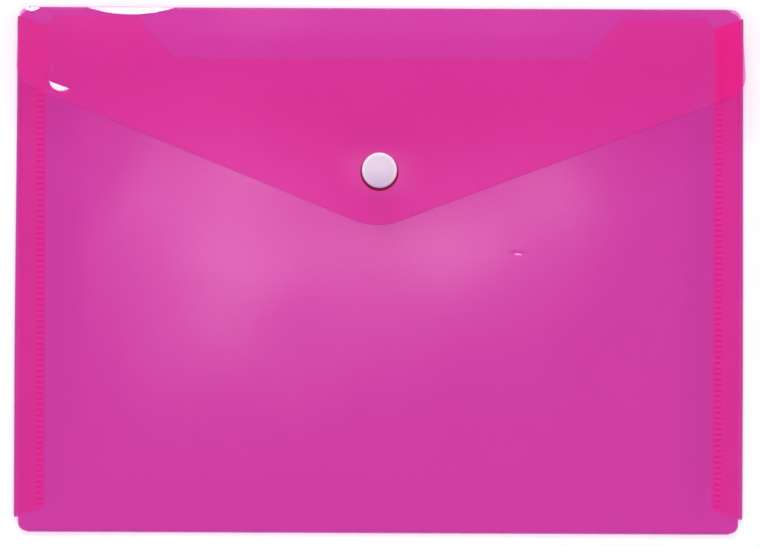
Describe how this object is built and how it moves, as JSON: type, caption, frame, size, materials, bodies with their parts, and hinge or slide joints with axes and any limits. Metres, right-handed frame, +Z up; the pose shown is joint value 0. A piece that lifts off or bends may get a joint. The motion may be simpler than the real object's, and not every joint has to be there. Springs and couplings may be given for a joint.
{
  "type": "document wallet",
  "caption": "Flat translucent plastic document wallet: welded pocket with a finger cut-out and a pointed flap that a press stud holds shut.",
  "frame": {"origin": "middle of the footprint, on the surface the wallet lies on", "axes": "+X across the wallet to the right, +Y up the wallet to the flap crease, +Z up out of the back panel"},
  "size_m": [0.2508, 0.1808, 0.0109],
  "materials": {
    "sheet": "translucent pink polypropylene sheet, smooth satin gloss",
    "snap": "white moulded plastic, satin"
  },
  "bodies": {
    "wallet": {"back_panel": "sheet", "bottom_fold": "sheet", "front_panel": "sheet", "left_side_fold": "sheet", "right_side_fold": "sheet", "left_side_tab": "sheet", "right_side_tab": "sheet", "left_weld_row": "sheet", "right_weld_row": "sheet", "flap_crease": "sheet", "snap_stud": "snap", "snap_back_cap": "snap"},
    "flap": {"flap": "sheet", "snap_cap": "snap", "snap_socket": "snap"}
  },
  "joints": [
    {"name": "flap_hinge", "type": "hinge", "parent": "wallet", "child": "flap", "pos_m": [0, 0.0901, 0.0003], "axis": [-1, 0, 0], "range_deg": [0, 157]}
  ]
}
